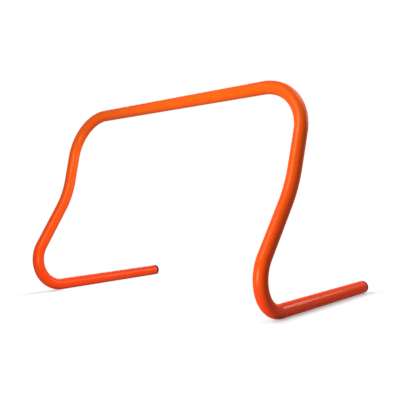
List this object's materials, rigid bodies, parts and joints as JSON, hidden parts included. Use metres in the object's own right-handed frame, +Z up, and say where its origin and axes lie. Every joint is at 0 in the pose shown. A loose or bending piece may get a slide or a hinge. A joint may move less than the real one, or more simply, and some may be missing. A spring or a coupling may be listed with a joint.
{
  "type": "speed hurdle",
  "caption": "Low training hurdle bent from a single round plastic tube: a level crossbar, S-curved legs and long floor feet closed by push-in end plugs.",
  "frame": {"origin": "on the floor, in the middle of the hurdle's box", "axes": "+X along the crossbar to the right as the athlete sees it from the front, +Y back along the feet, +Z up"},
  "size_m": [0.4722, 0.2754, 0.3],
  "materials": {
    "tube": "glossy extruded orange PVC",
    "plug": "satin moulded black polyethylene"
  },
  "bodies": {
    "root": {"hurdle_tube": "tube", "left_end_plug": "plug", "right_end_plug": "plug"}
  },
  "joints": []
}
